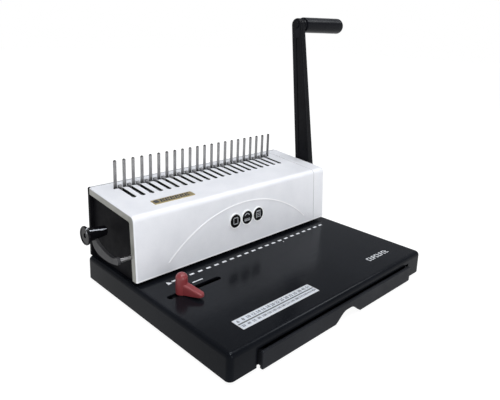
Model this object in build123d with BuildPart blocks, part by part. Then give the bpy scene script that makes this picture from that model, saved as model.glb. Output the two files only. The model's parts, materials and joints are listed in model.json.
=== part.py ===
"""Manual comb binding machine: black base with chip drawer, white punching head, side levers."""
import os
from math import cos, radians, sin

from build123d import *

os.makedirs("parts", exist_ok=True)

# ---------------------------------------------------------------- driving dimensions (mm)
# base
FOOT_H = 5.0
FOOT_R = 10.0
BASE_X0 = -235.2
BASE_X1 = 151.5
BASE_Y0 = -146.0
BASE_Y1 = 154.0
BASE_TOP = 37.5
BASE_WALL = 3.0
BASE_CORNER_R = 6.6
BASE_EDGE_R = 6.0
BOTTOM_T = 1.2
# chip drawer
DRAWER_X0 = -193.0
DRAWER_X1 = 114.0
OPENING_X0 = -196.0
OPENING_X1 = 117.0
DRAWER_FRONT_Y = -151.5
DRAWER_Z0 = 3.4
DRAWER_Z1 = 25.5
DRAWER_BACK_Y = 88.0
OPENING_TOP = 27.6
# punching head cover
HEAD_X0 = -232.0
HEAD_X1 = 140.3
SEAM_X = 114.0
HEAD_Z0 = 42.5
HEAD_FRONT_Y0 = 31.0
HEAD_FRONT_Y1 = 36.4
HEAD_FRONT_Z1 = 128.1
HEAD_BACK_Y = 147.5
TOP_SLOPE = 0.09
COVER_T = 3.0
RIM_W = 9.2
REAR_T = 5.4
# comb field
PITCH = 14.2875
RINGS = 21
COMB_X = -53.0
TINE_Y = 128.5
TINE_TOP = 176.5
TINE_W = 4.4
SLOT_Y0 = 89.5
SLOT_Y1 = 131.2
SLOT_W = 6.0
# raised arc on the front of the head
ARC_X = -46.4
ARC_TOP_Z = 108.7
ARC_R = 201.0
# side frames
FRAME_T = 3.0
FRAME_LX = -225.0
FRAME_RX = 110.0
# punching train
PUNCH_Y = 64.0
PUNCH_W = 8.0
PUNCH_D = 3.0
PUNCH_TIP = 42.5
DIE_Z0 = 33.5
STRIPPER_Z0 = 42.0
BAR_Z0 = 62.0
BAR_Z1 = 74.0
SHAFT_Y = 79.8
SHAFT_Z = 80.0
SHAFT_R = 6.0
ROCKER_R = 16.0
ROCKER_X = 100.0
LEVER_TURN = 50.0
POST_X = 150.5
POST_R = 3.0
# punching lever
LEVER_X0 = 142.0
LEVER_T = 12.0
LEVER_HEAD_Y = 116.7
LEVER_HEAD_Z = 363.0
GRIP_X1 = 263.0
GRIP_R = 13.5
# comb opener
OPENER_Y = 44.5
OPENER_Z = 73.7
OPENER_R = 3.0
OPENER_TURN = 50.0
OPENER_REST = 55.0
OPENER_ARM = 42.0
KNOB_Y = 103.5
KNOB_Z = 91.0
KNOB_R = 12.7
KNOB_X0 = -263.4
KNOB_X1 = -233.0
ARM_X0 = -252.0
ARM_T = 4.0
HOOK_BAR_Z0 = 119.0
HOOK_BAR_T = 3.0
# margin guide
GUIDE_X = -197.1
GUIDE_Y = -15.0
GUIDE_SLOT_X0 = -218.0
GUIDE_SLOT_X1 = -134.4

BASE_CX = (BASE_X0 + BASE_X1) / 2
BASE_CY = (BASE_Y0 + BASE_Y1) / 2
BASE_W = BASE_X1 - BASE_X0
BASE_D = BASE_Y1 - BASE_Y0
HALF_FIELD = PITCH * RINGS / 2
TINE_X = [COMB_X - HALF_FIELD + PITCH * i for i in range(RINGS + 1)]
RING_X = [x + PITCH / 2 for x in TINE_X[:-1]]
OPENER_TRAVEL = OPENER_ARM * (sin(radians(OPENER_REST)) - sin(radians(OPENER_REST - OPENER_TURN)))
FRONT_LEAN = (HEAD_FRONT_Y1 - HEAD_FRONT_Y0) / (HEAD_FRONT_Z1 - HEAD_Z0)
SCOOP_CX = -22.0
SCOOP_W = 104.0
FEET_XY = [(-213.0, -123.0), (123.0, -123.0), (-213.0, 128.0), (123.0, 128.0)]
BOSS_XY = [(-225.0, -90.0), (135.0, -90.0), (-225.0, 100.0), (135.0, 100.0), (-45.0, 142.0)]
REAR_SCREW_XZ = [(x, z) for x in (-217.0, 118.0) for z in (52.0, 118.0)]


def front_y(z):
    """Outer face of the head's front wall at height z."""
    return HEAD_FRONT_Y0 + FRONT_LEAN * (z - HEAD_Z0)


def top_z(y):
    """Outer face of the head's top wall at depth y."""
    return HEAD_FRONT_Z1 + TOP_SLOPE * (y - HEAD_FRONT_Y1)


def head_outline(d):
    """Side outline of the head, moved inwards by d on the front and the top."""
    return [
        (front_y(HEAD_Z0) + d, HEAD_Z0),
        (front_y(top_z(HEAD_FRONT_Y1)) + d, top_z(HEAD_FRONT_Y1 + d) - d),
        (HEAD_BACK_Y, top_z(HEAD_BACK_Y) - d),
        (HEAD_BACK_Y, HEAD_Z0),
    ]


def head_inside(d):
    """Outline of the space under the head's walls, open at the back and the bottom."""
    return [
        (front_y(HEAD_Z0) + d, HEAD_Z0 - 1),
        (front_y(top_z(HEAD_FRONT_Y1)) + d, top_z(HEAD_FRONT_Y1 + d) - d),
        (HEAD_BACK_Y + 1, top_z(HEAD_BACK_Y + 1) - d),
        (HEAD_BACK_Y + 1, HEAD_Z0 - 1),
    ]


FRONT_PLANE = Plane(
    origin=(0, front_y(84.0), 84.0), x_dir=(1, 0, 0), z_dir=(0, -1, FRONT_LEAN)
)
TOP_PLANE = Plane(origin=(0, 61.2, top_z(61.2)), x_dir=(1, 0, 0), z_dir=(0, -TOP_SLOPE, 1))

# ---------------------------------------------------------------- base tray
with BuildPart() as base_shell:
    with BuildSketch(Plane.XY.offset(FOOT_H)):
        with Locations((BASE_CX, BASE_CY)):
            RectangleRounded(BASE_W, BASE_D, BASE_CORNER_R)
    extrude(amount=BASE_TOP - FOOT_H)
    fillet(base_shell.faces().sort_by(Axis.Z)[-1].edges(), radius=BASE_EDGE_R)
    # hollow underside
    with BuildSketch(Plane.XY.offset(FOOT_H)):
        with Locations((BASE_CX, BASE_CY)):
            RectangleRounded(BASE_W - 2 * BASE_WALL, BASE_D - 2 * BASE_WALL, BASE_CORNER_R - BASE_WALL)
    extrude(amount=BASE_TOP - BASE_WALL - FOOT_H, mode=Mode.SUBTRACT)
    # screw bosses under the top
    with BuildSketch(Plane.XY.offset(FOOT_H + BOTTOM_T)):
        with Locations(*BOSS_XY):
            Circle(5.0)
    extrude(amount=BASE_TOP - BASE_WALL - FOOT_H - BOTTOM_T + 0.5)
    with BuildSketch(Plane.XY.offset(FOOT_H)):
        with Locations(*BOSS_XY):
            Circle(1.7)
    extrude(amount=16.0, mode=Mode.SUBTRACT)
    # drawer opening in the front wall
    with BuildSketch(Plane.XZ.offset(-BASE_Y0 + 1)):
        with BuildLine():
            Polyline(
                (OPENING_X0, FOOT_H - 1), (OPENING_X1, FOOT_H - 1),
                (OPENING_X1, OPENING_TOP), (OPENING_X0, OPENING_TOP), close=True,
            )
        make_face()
    extrude(amount=-(BASE_WALL + 2), mode=Mode.SUBTRACT)
    # window for the dies
    with BuildSketch(Plane.XY.offset(BASE_TOP - BASE_WALL - 1)):
        with Locations(((FRAME_LX + FRAME_T + FRAME_RX) / 2, 65.0)):
            Rectangle(FRAME_RX - FRAME_LX - FRAME_T - 1.0, 28.0)
    extrude(amount=BASE_WALL + 2, mode=Mode.SUBTRACT)
    # slot of the margin guide
    with BuildSketch(Plane.XY.offset(BASE_TOP - BASE_WALL - 1)):
        with Locations(((GUIDE_SLOT_X0 + GUIDE_SLOT_X1) / 2, GUIDE_Y)):
            SlotOverall(GUIDE_SLOT_X1 - GUIDE_SLOT_X0, 8.5)
    extrude(amount=BASE_WALL + 2, mode=Mode.SUBTRACT)
base_shell.part.label = "base_shell"
export_step(base_shell.part, "parts/base_shell.step")

# ---------------------------------------------------------------- sheet-metal floor
with BuildPart() as bottom_plate:
    with BuildSketch(Plane.XY.offset(FOOT_H)):
        with Locations((BASE_CX, BASE_CY)):
            RectangleRounded(BASE_W - 2 * BASE_WALL - 0.4, BASE_D - 2 * BASE_WALL - 0.4, BASE_CORNER_R - BASE_WALL - 0.2)
        with Locations(*BOSS_XY):
            Circle(1.8, mode=Mode.SUBTRACT)
        with Locations(*FEET_XY):
            Circle(2.2, mode=Mode.SUBTRACT)
        # notch under the finger scoop of the drawer
        with Locations((SCOOP_CX, -131.0)):
            Rectangle(SCOOP_W + 4.0, 38.0, mode=Mode.SUBTRACT)
    extrude(amount=BOTTOM_T)
bottom_plate.part.label = "bottom_plate"
export_step(bottom_plate.part, "parts/bottom_plate.step")

# ---------------------------------------------------------------- screws of the floor
with BuildPart() as bottom_screws:
    for x, y in BOSS_XY:
        with BuildSketch(Plane.XY.offset(FOOT_H)):
            with Locations((x, y)):
                Circle(1.65)
        extrude(amount=12.0)
        with BuildSketch(Plane.XY.offset(FOOT_H)):
            with Locations((x, y)):
                Circle(3.4)
        extrude(amount=-1.8)
bottom_screws.part.label = "bottom_screws"
export_step(bottom_screws.part, "parts/bottom_screws.step")

# ---------------------------------------------------------------- rubber feet
with BuildPart() as rubber_feet:
    for x, y in FEET_XY:
        with BuildSketch():
            with Locations((x, y)):
                Circle(FOOT_R)
        extrude(amount=FOOT_H, taper=4.0)
    with BuildSketch():
        with Locations(*FEET_XY):
            Circle(4.6)
    extrude(amount=2.6, mode=Mode.SUBTRACT)
    with BuildSketch():
        with Locations(*FEET_XY):
            Circle(2.1)
    extrude(amount=FOOT_H, mode=Mode.SUBTRACT)
rubber_feet.part.label = "rubber_feet"
export_step(rubber_feet.part, "parts/rubber_feet.step")

with BuildPart() as foot_screws:
    for x, y in FEET_XY:
        with BuildSketch(Plane.XY.offset(0.8)):
            with Locations((x, y)):
                Circle(3.8)
        extrude(amount=1.8)
        with BuildSketch(Plane.XY.offset(2.6)):
            with Locations((x, y)):
                Circle(2.0)
        extrude(amount=5.4)
foot_screws.part.label = "foot_screws"
export_step(foot_screws.part, "parts/foot_screws.step")

# ---------------------------------------------------------------- rails for the chip drawer
RAIL_X = [DRAWER_X0 - 1.3, DRAWER_X1 + 1.3]
with BuildPart() as drawer_rails:
    for x in RAIL_X:
        with BuildSketch(Plane.XY.offset(FOOT_H + BOTTOM_T)):
            with Locations((x, -25.0)):
                Rectangle(2.0, 230.0)
        extrude(amount=10.0)
drawer_rails.part.label = "drawer_rails"
export_step(drawer_rails.part, "parts/drawer_rails.step")

# ---------------------------------------------------------------- chip drawer
TRAY_CX = (DRAWER_X0 + DRAWER_X1) / 2
ARCH_X = -37.2
TRAY_W = DRAWER_X1 - DRAWER_X0 - 2.0
with BuildPart() as chip_drawer:
    with BuildSketch(Plane.XY.offset(FOOT_H + BOTTOM_T + 0.6)):
        with Locations((TRAY_CX, (DRAWER_FRONT_Y + 3.0 + DRAWER_BACK_Y) / 2)):
            Rectangle(TRAY_W, DRAWER_BACK_Y - DRAWER_FRONT_Y - 3.0)
    extrude(amount=17.5)
    with BuildSketch(Plane.XY.offset(FOOT_H + BOTTOM_T + 2.6)):
        with Locations((TRAY_CX, (DRAWER_FRONT_Y + 6.0 + DRAWER_BACK_Y - 2.0) / 2)):
            RectangleRounded(TRAY_W - 4.0, DRAWER_BACK_Y - DRAWER_FRONT_Y - 8.0, 4.0)
    extrude(amount=20.0, mode=Mode.SUBTRACT)
    # front panel
    with BuildSketch(Plane.XZ.offset(-DRAWER_FRONT_Y)):
        with Locations(((DRAWER_X0 + DRAWER_X1) / 2, (DRAWER_Z0 + DRAWER_Z1) / 2)):
            RectangleRounded(DRAWER_X1 - DRAWER_X0, DRAWER_Z1 - DRAWER_Z0, 2.2)
    extrude(amount=-3.4)
    fillet(chip_drawer.faces().sort_by(Axis.Y)[0].edges(), radius=1.2)
    # the tray stands lower behind the front panel
    with BuildSketch(Plane.XZ.offset(-DRAWER_FRONT_Y - 3.4)):
        with Locations((TRAY_CX, 24.0)):
            Rectangle(TRAY_W + 1.0, 5.0)
    extrude(amount=-2.6, mode=Mode.SUBTRACT)
    # finger scoop: a hood over the tray floor, open at the front and below
    with BuildSketch(Plane.YZ.offset(SCOOP_CX - SCOOP_W / 2 - 2.0)):
        with BuildLine():
            Polyline(
                (-147.0, 6.8), (-147.0, 19.4), (-141.0, 19.4), (-113.0, 8.8), (-113.0, 6.8), close=True,
            )
        make_face()
    extrude(amount=SCOOP_W + 4.0)
    with BuildSketch(Plane.YZ.offset(SCOOP_CX - SCOOP_W / 2)):
        with BuildLine():
            Polyline(
                (-149.0, 5.0), (-149.0, 17.4), (-141.5, 17.4), (-114.6, 7.2), (-114.6, 5.0), close=True,
            )
        make_face()
    extrude(amount=SCOOP_W, mode=Mode.SUBTRACT)
    # arch in the lower edge of the front
    with BuildSketch(Plane.XZ.offset(-DRAWER_FRONT_Y + 1)):
        with BuildLine():
            l1 = Spline((ARCH_X - 32.6, 2.0), (ARCH_X - 21.7, 6.9), (ARCH_X - 11.5, 14.4), (ARCH_X, 16.4))
            l2 = Spline((ARCH_X, 16.4), (ARCH_X + 11.5, 14.4), (ARCH_X + 21.7, 6.9), (ARCH_X + 32.6, 2.0))
            Line(l2 @ 1, l1 @ 0)
        make_face()
    extrude(amount=-7.0, mode=Mode.SUBTRACT)
chip_drawer.part.label = "chip_drawer"
export_step(chip_drawer.part, "parts/chip_drawer.step")

# ---------------------------------------------------------------- side frames
FRAME_OUTLINE = [
    (35.0, BASE_TOP), (39.9, 116.0), (46.0, 124.6), (146.8, 133.8), (146.8, BASE_TOP),
]


def shaft_holes():
    """Holes for the bushings of the two cross shafts and the tie rods."""
    with Locations((SHAFT_Y, SHAFT_Z)):
        Circle(8.0, mode=Mode.SUBTRACT)
    with Locations((OPENER_Y, OPENER_Z)):
        Circle(OPENER_R + 0.05, mode=Mode.SUBTRACT)
    with Locations((108.0, 60.0), (122.0, 92.0)):
        Circle(3.0, mode=Mode.SUBTRACT)


with BuildPart() as frame_left:
    with BuildSketch(Plane.YZ.offset(FRAME_LX)):
        with BuildLine():
            Polyline(*FRAME_OUTLINE, close=True)
        make_face()
        shaft_holes()
    extrude(amount=FRAME_T)
    # foot flange
    with BuildSketch(Plane.XY.offset(BASE_TOP)):
        with Locations((FRAME_LX + FRAME_T + 6.0, 118.0)):
            Rectangle(12.0, 50.0)
        with Locations((FRAME_LX + FRAME_T + 7.0, 104.0), (FRAME_LX + FRAME_T + 7.0, 132.0)):
            Circle(2.2, mode=Mode.SUBTRACT)
    extrude(amount=2.5)
    # tab over the die set
    with BuildSketch(Plane.XY.offset(STRIPPER_Z0 + 4.0)):
        with Locations((FRAME_LX + FRAME_T + 4.5, 65.0)):
            Rectangle(9.0, 26.0)
        with Locations((FRAME_LX + FRAME_T + 5.0, 57.0), (FRAME_LX + FRAME_T + 5.0, 73.0)):
            Circle(2.05, mode=Mode.SUBTRACT)
    extrude(amount=2.0)
frame_left.part.label = "frame_left"
export_step(frame_left.part, "parts/frame_left.step")

with BuildPart() as frame_right:
    with BuildSketch(Plane.YZ.offset(FRAME_RX)):
        with BuildLine():
            Polyline(*FRAME_OUTLINE, close=True)
        make_face()
        shaft_holes()
    extrude(amount=FRAME_T)
    with BuildSketch(Plane.XY.offset(BASE_TOP)):
        with Locations((FRAME_RX + FRAME_T + 6.0, 118.0)):
            Rectangle(12.0, 50.0)
        with Locations((FRAME_RX + FRAME_T + 7.0, 104.0), (FRAME_RX + FRAME_T + 7.0, 132.0)):
            Circle(2.2, mode=Mode.SUBTRACT)
    extrude(amount=2.5)
    with BuildSketch(Plane.XY.offset(STRIPPER_Z0 + 4.0)):
        with Locations((FRAME_RX - 4.0, 65.0)):
            Rectangle(8.0, 26.0)
        with Locations((FRAME_RX - 4.0, 57.0), (FRAME_RX - 4.0, 73.0)):
            Circle(2.05, mode=Mode.SUBTRACT)
    extrude(amount=2.0)
frame_right.part.label = "frame_right"
export_step(frame_right.part, "parts/frame_right.step")

FLANGE_XY = [
    (FRAME_LX + FRAME_T + 7.0, 104.0), (FRAME_LX + FRAME_T + 7.0, 132.0),
    (FRAME_RX + FRAME_T + 7.0, 104.0), (FRAME_RX + FRAME_T + 7.0, 132.0),
]
with BuildPart() as frame_screws:
    for x, y in FLANGE_XY:
        with BuildSketch(Plane.XY.offset(BASE_TOP + 2.5)):
            with Locations((x, y)):
                Circle(3.6)
        extrude(amount=2.2)
        with BuildSketch(Plane.XY.offset(BASE_TOP + 2.5)):
            with Locations((x, y)):
                Circle(2.0)
        extrude(amount=-2.4)
frame_screws.part.label = "frame_screws"
export_step(frame_screws.part, "parts/frame_screws.step")

# ---------------------------------------------------------------- tie rods between the frames
with BuildPart() as tie_rods:
    for y, z in ((108.0, 60.0), (122.0, 92.0)):
        with BuildSketch(Plane.YZ.offset(FRAME_LX)):
            with Locations((y, z)):
                Circle(2.98)
        extrude(amount=FRAME_RX + FRAME_T - FRAME_LX)
tie_rods.part.label = "tie_rods"
export_step(tie_rods.part, "parts/tie_rods.step")

# ---------------------------------------------------------------- bushings of the drive shaft
with BuildPart() as shaft_bushings:
    for x0, flange_x in ((FRAME_LX, FRAME_LX + FRAME_T), (FRAME_RX, FRAME_RX - 1.5)):
        with BuildSketch(Plane.YZ.offset(x0)):
            with Locations((SHAFT_Y, SHAFT_Z)):
                Circle(7.98)
                Circle(SHAFT_R + 0.05, mode=Mode.SUBTRACT)
        extrude(amount=FRAME_T)
        with BuildSketch(Plane.YZ.offset(flange_x)):
            with Locations((SHAFT_Y, SHAFT_Z)):
                Circle(9.2)
                Circle(SHAFT_R + 0.05, mode=Mode.SUBTRACT)
        extrude(amount=1.5)
shaft_bushings.part.label = "shaft_bushings"
export_step(shaft_bushings.part, "parts/shaft_bushings.step")

# ---------------------------------------------------------------- die set
DIE_X0 = FRAME_LX + FRAME_T + 0.5
DIE_X1 = FRAME_RX - 0.5
DIE_CX = (DIE_X0 + DIE_X1) / 2
DIE_SCREW_XY = [
    (FRAME_LX + FRAME_T + 5.0, 57.0), (FRAME_LX + FRAME_T + 5.0, 73.0),
    (FRAME_RX - 4.0, 57.0), (FRAME_RX - 4.0, 73.0),
]
with BuildPart() as lower_die:
    with BuildSketch(Plane.XY.offset(DIE_Z0)):
        with Locations((DIE_CX, 65.0)):
            Rectangle(DIE_X1 - DIE_X0 - 0.6, 27.0)
        with Locations(*[(x, PUNCH_Y) for x in RING_X]):
            Rectangle(PUNCH_W + 0.2, PUNCH_D + 0.2, mode=Mode.SUBTRACT)
        with Locations(*DIE_SCREW_XY):
            Circle(2.05, mode=Mode.SUBTRACT)
    extrude(amount=BASE_TOP - DIE_Z0)
lower_die.part.label = "lower_die"
export_step(lower_die.part, "parts/lower_die.step")

with BuildPart() as stripper_plate:
    with BuildSketch(Plane.XY.offset(STRIPPER_Z0)):
        with Locations((DIE_CX, 65.0)):
            Rectangle(DIE_X1 - DIE_X0, 27.0)
        with Locations(*[(x, PUNCH_Y) for x in RING_X]):
            Rectangle(PUNCH_W + 0.2, PUNCH_D + 0.2, mode=Mode.SUBTRACT)
        with Locations(*DIE_SCREW_XY):
            Circle(2.05, mode=Mode.SUBTRACT)
        with Locations((COMB_X - POST_X, PUNCH_Y), (COMB_X + POST_X, PUNCH_Y)):
            Circle(POST_R + 0.02, mode=Mode.SUBTRACT)
    extrude(amount=4.0)
stripper_plate.part.label = "stripper_plate"
export_step(stripper_plate.part, "parts/stripper_plate.step")

with BuildPart() as die_spacer:
    # end blocks joined by the back stop that sets the punching depth
    with BuildSketch(Plane.XY.offset(BASE_TOP)):
        with Locations((DIE_CX, 74.5)):
            Rectangle(DIE_X1 - DIE_X0 - 0.6, 8.0)
        with Locations((DIE_X0 + 5.3, 64.75)):
            Rectangle(10.0, 26.5)
        with Locations((DIE_X1 - 4.8, 64.75)):
            Rectangle(9.0, 26.5)
        with Locations(*DIE_SCREW_XY):
            Circle(2.05, mode=Mode.SUBTRACT)
    extrude(amount=STRIPPER_Z0 - BASE_TOP)
die_spacer.part.label = "die_spacer"
export_step(die_spacer.part, "parts/die_spacer.step")

with BuildPart() as die_screws:
    for x, y in DIE_SCREW_XY:
        with BuildSketch(Plane.XY.offset(DIE_Z0 + 0.5)):
            with Locations((x, y)):
                Circle(2.0)
        extrude(amount=STRIPPER_Z0 + 6.0 - DIE_Z0 - 0.5)
        with BuildSketch(Plane.XY.offset(STRIPPER_Z0 + 6.0)):
            with Locations((x, y)):
                RegularPolygon(3.2, 6)
        extrude(amount=2.4)
die_screws.part.label = "die_screws"
export_step(die_screws.part, "parts/die_screws.step")

with BuildPart() as guide_posts:
    for x in (COMB_X - POST_X, COMB_X + POST_X):
        with BuildSketch(Plane.XY.offset(STRIPPER_Z0)):
            with Locations((x, PUNCH_Y)):
                Circle(POST_R)
        extrude(amount=53.0)
guide_posts.part.label = "guide_posts"
export_step(guide_posts.part, "parts/guide_posts.step")

# ---------------------------------------------------------------- punch bar and punches
ROCKER_UP = ROCKER_R * sin(radians(LEVER_TURN / 2))
PIN_Z = SHAFT_Z + ROCKER_UP
EAR_X = [COMB_X + side * (ROCKER_X + off) for side in (-1, 1) for off in (-6.6, 6.6)]
with BuildPart() as punch_bar:
    with BuildSketch(Plane.XY.offset(BAR_Z0)):
        with Locations((COMB_X, PUNCH_Y)):
            Rectangle(318.0, 13.0)
        with Locations((COMB_X - POST_X, PUNCH_Y), (COMB_X + POST_X, PUNCH_Y)):
            Circle(POST_R + 0.08, mode=Mode.SUBTRACT)
    extrude(amount=BAR_Z1 - BAR_Z0)
    # relief over the die screws
    with BuildSketch(Plane.XY.offset(BAR_Z0 - 1)):
        with Locations((104.6, PUNCH_Y)):
            Rectangle(6.0, 16.0)
    extrude(amount=5.0, mode=Mode.SUBTRACT)
    # pockets for the punches
    with BuildSketch(Plane.XY.offset(BAR_Z0)):
        with Locations(*[(x, PUNCH_Y) for x in RING_X]):
            Rectangle(PUNCH_W + 0.1, PUNCH_D + 0.1)
    extrude(amount=6.0, mode=Mode.SUBTRACT)
    # ears for the rocker pins
    for x in EAR_X:
        with BuildSketch(Plane.YZ.offset(x - 2.0)):
            with Locations((PUNCH_Y, (BAR_Z1 + 95.0) / 2)):
                Rectangle(13.0, 95.0 - BAR_Z1)
            with Locations((PUNCH_Y + 0.7, PIN_Z)):
                SlotOverall(9.0, 6.9, mode=Mode.SUBTRACT)
        extrude(amount=4.0)
punch_bar.part.label = "punch_bar"
export_step(punch_bar.part, "parts/punch_bar.step")

with BuildPart() as punches:
    for x in RING_X:
        with BuildSketch(Plane.XY.offset(PUNCH_TIP)):
            with Locations((x, PUNCH_Y)):
                Rectangle(PUNCH_W, PUNCH_D)
        extrude(amount=BAR_Z0 + 6.0 - PUNCH_TIP)
punches.part.label = "punches"
export_step(punches.part, "parts/punches.step")

# ---------------------------------------------------------------- drive shaft and rockers
with BuildPart() as drive_shaft:
    with BuildSketch(Plane.YZ.offset(FRAME_LX + 0.2)):
        with Locations((SHAFT_Y, SHAFT_Z)):
            Circle(SHAFT_R)
    extrude(amount=LEVER_X0 + LEVER_T - 0.4 - FRAME_LX)
    with BuildSketch(Plane.YZ.offset(LEVER_X0 + LEVER_T - 0.2)):
        with Locations((SHAFT_Y, SHAFT_Z)):
            Circle(4.0)
    extrude(amount=7.0)
drive_shaft.part.label = "drive_shaft"
export_step(drive_shaft.part, "parts/drive_shaft.step")

PIN_Y = SHAFT_Y - ROCKER_R * cos(radians(LEVER_TURN / 2))
with BuildPart() as rocker_arms:
    for side in (-1, 1):
        x0 = COMB_X + side * ROCKER_X - 4.0
        with BuildSketch(Plane.YZ.offset(x0)):
            with Locations((SHAFT_Y, SHAFT_Z)):
                Circle(10.0)
            with Locations((PIN_Y, PIN_Z)):
                Circle(5.6)
            make_hull()
            with Locations((SHAFT_Y, SHAFT_Z)):
                Circle(SHAFT_R + 0.02, mode=Mode.SUBTRACT)
            with Locations((PIN_Y, PIN_Z)):
                Circle(3.02, mode=Mode.SUBTRACT)
        extrude(amount=8.0)
rocker_arms.part.label = "rocker_arms"
export_step(rocker_arms.part, "parts/rocker_arms.step")

with BuildPart() as rocker_pins:
    for side in (-1, 1):
        with BuildSketch(Plane.YZ.offset(COMB_X + side * ROCKER_X - 9.2)):
            with Locations((PIN_Y, PIN_Z)):
                Circle(3.0)
        extrude(amount=18.4)
rocker_pins.part.label = "rocker_pins"
export_step(rocker_pins.part, "parts/rocker_pins.step")

# collar that keeps the shaft from sliding sideways
with BuildPart() as shaft_collar:
    with BuildSketch(Plane.YZ.offset(FRAME_LX + FRAME_T + 2.2)):
        with Locations((SHAFT_Y, SHAFT_Z)):
            Circle(9.4)
            Circle(SHAFT_R + 0.02, mode=Mode.SUBTRACT)
    extrude(amount=5.0)
shaft_collar.part.label = "shaft_collar"
export_step(shaft_collar.part, "parts/shaft_collar.step")

# ---------------------------------------------------------------- return spring on the shaft
SPRING_X0 = COMB_X + ROCKER_X + 16.0
SPRING_R = 8.0
SPRING_WIRE = 0.8
with BuildPart() as return_spring:
    with BuildLine():
        coil = Helix(
            pitch=2.4, height=12.0, radius=SPRING_R,
            center=(SPRING_X0, SHAFT_Y, SHAFT_Z), direction=(1, 0, 0),
        )
    with BuildSketch(Plane(origin=coil @ 0, z_dir=coil % 0)):
        Circle(SPRING_WIRE)
    sweep(path=coil)
return_spring.part.label = "return_spring"
export_step(return_spring.part, "parts/return_spring.step")

# ---------------------------------------------------------------- punching lever
with BuildPart() as punch_lever:
    with BuildSketch(Plane.YZ.offset(LEVER_X0)):
        with Locations((SHAFT_Y, SHAFT_Z)):
            Circle(17.8)
        with Locations((LEVER_HEAD_Y, LEVER_HEAD_Z)):
            Circle(11.2)
        make_hull()
    extrude(amount=LEVER_T)
    fillet(punch_lever.faces().filter_by(Axis.X).edges(), radius=3.6)
    # shallow recess along both faces
    for x0 in (LEVER_X0 - 1.0, LEVER_X0 + LEVER_T - 1.0):
        with BuildSketch(Plane.YZ.offset(x0)):
            with Locations((SHAFT_Y + 0.2, 104.0)):
                Circle(10.6)
            with Locations((LEVER_HEAD_Y - 5.4, 338.0)):
                Circle(3.8)
            make_hull()
        extrude(amount=2.0, mode=Mode.SUBTRACT)
    # boss that reaches through the end cover
    with BuildSketch(Plane.YZ.offset(LEVER_X0 + 2.0)):
        with Locations((SHAFT_Y, SHAFT_Z)):
            Circle(9.0)
    extrude(amount=-7.0)
    with BuildSketch(Plane.YZ.offset(LEVER_X0 - 6.0)):
        with Locations((SHAFT_Y, SHAFT_Z)):
            Circle(SHAFT_R + 0.02)
        with Locations((LEVER_HEAD_Y, LEVER_HEAD_Z)):
            Circle(4.02)
    extrude(amount=LEVER_T + 8.0, mode=Mode.SUBTRACT)
punch_lever.part.label = "punch_lever"
export_step(punch_lever.part, "parts/punch_lever.step")

with BuildPart() as lever_nut:
    with BuildSketch(Plane.YZ.offset(LEVER_X0 + LEVER_T)):
        with Locations((SHAFT_Y, SHAFT_Z)):
            Circle(10.0)
    extrude(amount=1.5)
    with BuildSketch(Plane.YZ.offset(LEVER_X0 + LEVER_T + 1.5)):
        with Locations((SHAFT_Y, SHAFT_Z)):
            RegularPolygon(7.5, 6)
    extrude(amount=6.5)
    with BuildSketch(Plane.YZ.offset(LEVER_X0 + LEVER_T - 1)):
        with Locations((SHAFT_Y, SHAFT_Z)):
            Circle(4.02)
    extrude(amount=8.0, mode=Mode.SUBTRACT)
lever_nut.part.label = "lever_nut"
export_step(lever_nut.part, "parts/lever_nut.step")

# ---------------------------------------------------------------- grip and its bolt
with BuildPart() as grip_bolt:
    with BuildSketch(Plane.YZ.offset(LEVER_X0)):
        with Locations((LEVER_HEAD_Y, LEVER_HEAD_Z)):
            Circle(6.4)
    extrude(amount=-2.6)
    with BuildSketch(Plane.YZ.offset(LEVER_X0)):
        with Locations((LEVER_HEAD_Y, LEVER_HEAD_Z)):
            Circle(4.0)
    extrude(amount=98.0)
    fillet(grip_bolt.faces().sort_by(Axis.X)[0].edges(), radius=1.2)
grip_bolt.part.label = "grip_bolt"
export_step(grip_bolt.part, "parts/grip_bolt.step")

GRIP_X0 = LEVER_X0 + LEVER_T
with BuildPart() as grip_collar:
    with BuildSketch(Plane.YZ.offset(GRIP_X0)):
        with Locations((LEVER_HEAD_Y, LEVER_HEAD_Z)):
            Circle(10.6)
            Circle(4.02, mode=Mode.SUBTRACT)
    extrude(amount=5.0)
grip_collar.part.label = "grip_collar"
export_step(grip_collar.part, "parts/grip_collar.step")

with BuildPart() as grip:
    with BuildSketch(Plane.YZ.offset(GRIP_X0 + 5.0)):
        with Locations((LEVER_HEAD_Y, LEVER_HEAD_Z)):
            Circle(GRIP_R - 0.6)
    extrude(amount=GRIP_X1 - GRIP_X0 - 5.0, taper=-0.4)
    fillet(grip.faces().sort_by(Axis.X)[-1].edges(), radius=8.0)
    fillet(grip.faces().sort_by(Axis.X)[0].edges(), radius=1.5)
    with BuildSketch(Plane.YZ.offset(GRIP_X0 + 4.0)):
        with Locations((LEVER_HEAD_Y, LEVER_HEAD_Z)):
            Circle(4.02)
    extrude(amount=84.2, mode=Mode.SUBTRACT)
grip.part.label = "grip"
export_step(grip.part, "parts/grip.step")

# ---------------------------------------------------------------- bed plate that carries the tines
with BuildPart() as bed_plate:
    with BuildSketch(Plane.XY.offset(116.0)):
        with Locations((COMB_X, (66.0 + 129.3) / 2)):
            Rectangle(310.0, 63.3)
    extrude(amount=2.4)
    with BuildSketch(Plane.XY.offset(100.0)):
        with Locations(((FRAME_LX + FRAME_T + FRAME_RX) / 2, 130.3)):
            Rectangle(FRAME_RX - FRAME_LX - FRAME_T - 0.4, 2.0)
    extrude(amount=26.0)
bed_plate.part.label = "bed_plate"
export_step(bed_plate.part, "parts/bed_plate.step")

with BuildPart() as tines:
    for x in TINE_X:
        with BuildSketch(Plane.XZ.offset(-TINE_Y - 0.8)):
            with Locations((x, (118.4 + TINE_TOP - TINE_W / 2) / 2)):
                Rectangle(TINE_W, TINE_TOP - TINE_W / 2 - 118.4)
            with Locations((x, TINE_TOP - TINE_W / 2)):
                Circle(TINE_W / 2)
        extrude(amount=1.6)
tines.part.label = "tines"
export_step(tines.part, "parts/tines.step")

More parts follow.
